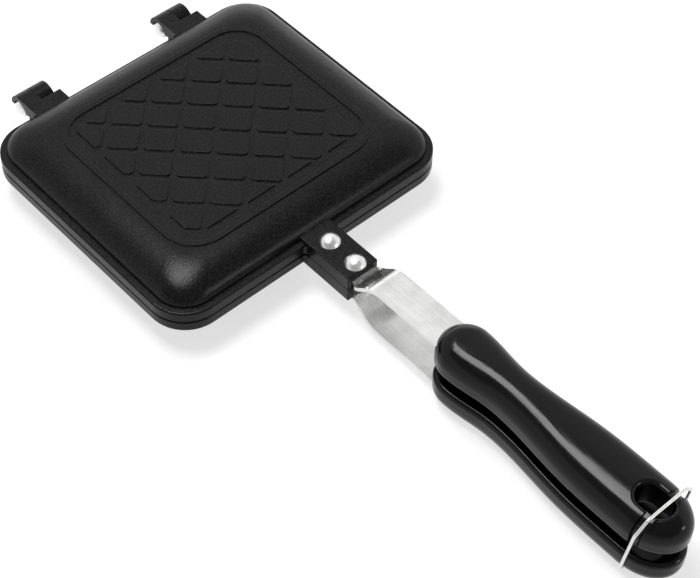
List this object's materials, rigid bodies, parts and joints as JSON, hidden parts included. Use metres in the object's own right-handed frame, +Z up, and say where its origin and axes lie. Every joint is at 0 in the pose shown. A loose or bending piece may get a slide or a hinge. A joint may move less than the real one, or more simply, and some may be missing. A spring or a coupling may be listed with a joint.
{
  "type": "arepa pan",
  "caption": "Double-sided stovetop arepa pan: two hinged cast pans with lozenge-relief backs, riveted strap handles, black grips and a wire locking bail.",
  "frame": {"origin": "centre of the lower pan's rest face, which its raised bead and pads form", "axes": "+Z up through the closed pans, +Y towards the hinges, grips towards -Y, +X to the right seen from the grips"},
  "size_m": [0.145, 0.3409, 0.038],
  "materials": {
    "pan_coating": "matte black fine-grained non-stick coating on cast aluminium",
    "strap_steel": "polished stainless strip",
    "rivet_metal": "polished",
    "grip_resin": "glossy black heat-resistant resin",
    "screw_steel": "zinc plated",
    "wire_steel": "drawn wire, satin"
  },
  "bodies": {
    "lower_half": {"lower_pan": "pan_coating", "hinge_pin_left": "rivet_metal", "hinge_pin_right": "rivet_metal", "lower_strap": "strap_steel", "lower_rivet_front": "rivet_metal", "lower_rivet_rear": "rivet_metal", "lower_grip": "grip_resin", "lower_grip_screw_front": "screw_steel", "lower_grip_screw_rear": "screw_steel"},
    "upper_half": {"upper_pan": "pan_coating", "upper_strap": "strap_steel", "upper_rivet_front": "rivet_metal", "upper_rivet_rear": "rivet_metal", "upper_grip": "grip_resin", "upper_grip_screw_front": "screw_steel", "upper_grip_screw_rear": "screw_steel"},
    "bail": {"locking_bail": "wire_steel"}
  },
  "joints": [
    {"name": "lid_hinge", "type": "hinge", "parent": "lower_half", "child": "upper_half", "pos_m": [0, 0.0763, 0.0152], "axis": [-1, 0, 0], "range_deg": [0, 180]},
    {"name": "bail_swing", "type": "hinge", "parent": "lower_half", "child": "bail", "pos_m": [0, -0.2437, 0.00455], "axis": [1, 0, 0], "range_deg": [0, 240]}
  ]
}
